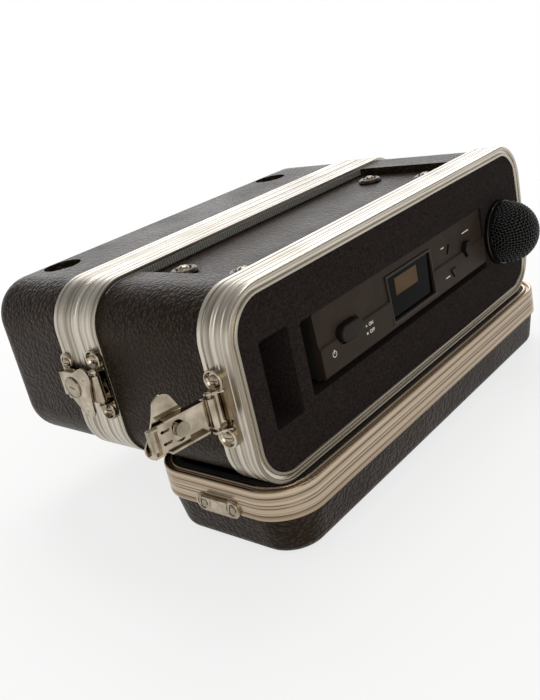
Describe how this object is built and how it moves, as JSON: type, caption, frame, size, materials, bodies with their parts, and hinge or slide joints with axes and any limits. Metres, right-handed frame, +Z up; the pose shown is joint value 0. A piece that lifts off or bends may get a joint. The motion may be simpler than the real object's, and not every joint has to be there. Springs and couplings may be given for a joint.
{
  "type": "microphone case",
  "caption": "Hard carrying case for a wireless microphone set, with lift-off lids, draw latches, a drop handle and cut foam that holds a receiver and a handheld microphone.",
  "frame": {"origin": "middle of the flat outer face of the front lid, on which the whole set stands", "axes": "+X along the case's length, +Y from the open front towards the rear lid, +Z up"},
  "size_m": [0.4696, 0.2775, 0.176],
  "materials": {
    "shell": "black pebble-grained moulding",
    "valance": "brushed and lacquered extrusion",
    "seal": "matt black rubber",
    "foam": "charcoal closed-cell foam",
    "pad": "charcoal foam sheet",
    "latch_chrome": "bright nickel plate",
    "latch_steel": "plated steel",
    "screw": "plated steel",
    "cup_washer": "blackened steel",
    "bracket": "plated steel",
    "bail": "plated steel rod",
    "grip": "matt black",
    "receiver_panel": "fine matt moulding",
    "receiver_chassis": "black powder coat",
    "receiver_cover": "black powder coat",
    "receiver_boards": "green circuit board",
    "receiver_feet": "matt black rubber",
    "receiver_jacks": "plated",
    "display_window": "polished black",
    "display": "unlit liquid crystal",
    "button": "fine matt moulding",
    "mic_grille": "black woven wire",
    "mic_band": "black ring",
    "mic_body": "black enamel",
    "mic_capsule": "plain"
  },
  "bodies": {
    "front_lid": {"front_lid_shell": "shell", "front_lid_valance": "valance", "front_lid_seal": "seal", "front_lid_pad": "pad", "front_lid_screws": "screw", "keeper_front_left": "latch_chrome", "keeper_front_right": "latch_chrome"},
    "case": {"body_shell": "shell", "front_valance": "valance", "rear_valance": "valance", "foam_insert": "foam", "top_cup_washers": "cup_washer", "top_screws": "screw", "handle_brackets": "bracket", "case_screws": "screw", "latch_pins": "latch_steel", "latch_base_front_left": "latch_chrome", "latch_base_front_right": "latch_chrome", "latch_base_rear_left": "latch_chrome", "latch_base_rear_right": "latch_chrome"},
    "rear_lid": {"rear_lid_shell": "shell", "rear_lid_valance": "valance", "rear_lid_seal": "seal", "rear_lid_screws": "screw", "keeper_rear_left": "latch_chrome", "keeper_rear_right": "latch_chrome"},
    "handle": {"handle_bail": "bail", "handle_grip": "grip"},
    "receiver": {"receiver_panel": "receiver_panel", "receiver_chassis": "receiver_chassis", "receiver_cover": "receiver_cover", "receiver_boards": "receiver_boards", "receiver_feet": "receiver_feet", "receiver_jacks": "receiver_jacks", "display_window": "display_window", "display": "display"},
    "power_key": {"power_button": "button"},
    "up_key": {"up_button": "button"},
    "down_key": {"down_button": "button"},
    "set_key": {"set_button": "button"},
    "microphone": {"mic_grille": "mic_grille", "mic_band": "mic_band", "mic_body": "mic_body", "mic_capsule": "mic_capsule"},
    "arm_front_left": {"latch_arm_front_left": "latch_chrome"},
    "hook_front_left": {"latch_hook_front_left": "latch_chrome"},
    "wing_front_left": {"latch_wing_front_left": "latch_chrome", "latch_cam_front_left": "latch_steel"},
    "arm_front_right": {"latch_arm_front_right": "latch_chrome"},
    "hook_front_right": {"latch_hook_front_right": "latch_chrome"},
    "wing_front_right": {"latch_wing_front_right": "latch_chrome", "latch_cam_front_right": "latch_steel"},
    "arm_rear_left": {"latch_arm_rear_left": "latch_chrome"},
    "hook_rear_left": {"latch_hook_rear_left": "latch_chrome"},
    "wing_rear_left": {"latch_wing_rear_left": "latch_chrome", "latch_cam_rear_left": "latch_steel"},
    "arm_rear_right": {"latch_arm_rear_right": "latch_chrome"},
    "hook_rear_right": {"latch_hook_rear_right": "latch_chrome"},
    "wing_rear_right": {"latch_wing_rear_right": "latch_chrome", "latch_cam_rear_right": "latch_steel"}
  },
  "joints": [
    {"name": "case_lift", "type": "slide", "parent": "front_lid", "child": "case", "axis": [0, 0, 1], "range_m": [0, 0.12]},
    {"name": "rear_lid_pull", "type": "slide", "parent": "case", "child": "rear_lid", "axis": [0, 1, 0], "range_m": [0, 0.13]},
    {"name": "latch_swing_front_left", "type": "hinge", "parent": "case", "child": "arm_front_left", "pos_m": [-0.1985, -0.0355, 0.111], "axis": [0, 0, -1], "range_deg": [-100, 0]},
    {"name": "wing_turn_front_left", "type": "hinge", "parent": "arm_front_left", "child": "wing_front_left", "pos_m": [-0.21967, -0.03177, 0.111], "axis": [-0.1736, -0.9848, 0], "range_deg": [-153, 27]},
    {"name": "hook_draw_front_left", "type": "slide", "parent": "arm_front_left", "child": "hook_front_left", "axis": [-0.9848, 0.1736, 0], "range_m": [-0.00511, 0.00091]},
    {"name": "latch_swing_front_right", "type": "hinge", "parent": "case", "child": "arm_front_right", "pos_m": [0.1845, -0.0355, 0.111], "axis": [0, 0, 1], "range_deg": [-100, 0]},
    {"name": "wing_turn_front_right", "type": "hinge", "parent": "arm_front_right", "child": "wing_front_right", "pos_m": [0.20567, -0.03177, 0.111], "axis": [0.1736, -0.9848, 0], "range_deg": [-153, 27]},
    {"name": "hook_draw_front_right", "type": "slide", "parent": "arm_front_right", "child": "hook_front_right", "axis": [0.9848, 0.1736, 0], "range_m": [-0.00511, 0.00091]},
    {"name": "latch_swing_rear_left", "type": "hinge", "parent": "case", "child": "arm_rear_left", "pos_m": [-0.1985, 0.0677, 0.113], "axis": [0, 0, 1], "range_deg": [0, 100]},
    {"name": "wing_turn_rear_left", "type": "hinge", "parent": "arm_rear_left", "child": "wing_rear_left", "pos_m": [-0.1985, 0.0892, 0.113], "axis": [1, 0, 0], "range_deg": [-13, 167]},
    {"name": "hook_draw_rear_left", "type": "slide", "parent": "arm_rear_left", "child": "hook_rear_left", "axis": [0, 1, 0], "range_m": [-0.00044, 0.00558]},
    {"name": "latch_swing_rear_right", "type": "hinge", "parent": "case", "child": "arm_rear_right", "pos_m": [0.1845, 0.0677, 0.113], "axis": [0, 0, -1], "range_deg": [0, 100]},
    {"name": "wing_turn_rear_right", "type": "hinge", "parent": "arm_rear_right", "child": "wing_rear_right", "pos_m": [0.1845, 0.0892, 0.113], "axis": [-1, 0, 0], "range_deg": [-13, 167]},
    {"name": "hook_draw_rear_right", "type": "slide", "parent": "arm_rear_right", "child": "hook_rear_right", "axis": [0, 1, 0], "range_m": [-0.00044, 0.00558]},
    {"name": "handle_swing", "type": "hinge", "parent": "case", "child": "handle", "pos_m": [-0.015, 0.012, 0.0507], "axis": [1, 0, 0], "range_deg": [-90, 90]},
    {"name": "receiver_pull", "type": "slide", "parent": "case", "child": "receiver", "axis": [0, -1, 0], "range_m": [0, 0.15]},
    {"name": "mic_pull", "type": "slide", "parent": "case", "child": "microphone", "axis": [0, -1, 0], "range_m": [0, 0.25]},
    {"name": "power_press", "type": "slide", "parent": "receiver", "child": "power_key", "axis": [0, 1, 0], "range_m": [0, 0.0015], "stiffness_N_per_m": 200},
    {"name": "up_press", "type": "slide", "parent": "receiver", "child": "up_key", "axis": [0, 1, 0], "range_m": [0, 0.0015], "stiffness_N_per_m": 200},
    {"name": "down_press", "type": "slide", "parent": "receiver", "child": "down_key", "axis": [0, 1, 0], "range_m": [0, 0.0015], "stiffness_N_per_m": 200},
    {"name": "set_press", "type": "slide", "parent": "receiver", "child": "set_key", "axis": [0, 1, 0], "range_m": [0, 0.0015], "stiffness_N_per_m": 200}
  ],
  "couplings": [
    {"joint": "hook_draw_front_left", "follows": "wing_turn_front_left", "m_per_rad": 0.0019099},
    {"joint": "hook_draw_front_right", "follows": "wing_turn_front_right", "m_per_rad": 0.0019099},
    {"joint": "hook_draw_rear_left", "follows": "wing_turn_rear_left", "m_per_rad": 0.0019099},
    {"joint": "hook_draw_rear_right", "follows": "wing_turn_rear_right", "m_per_rad": 0.0019099}
  ]
}
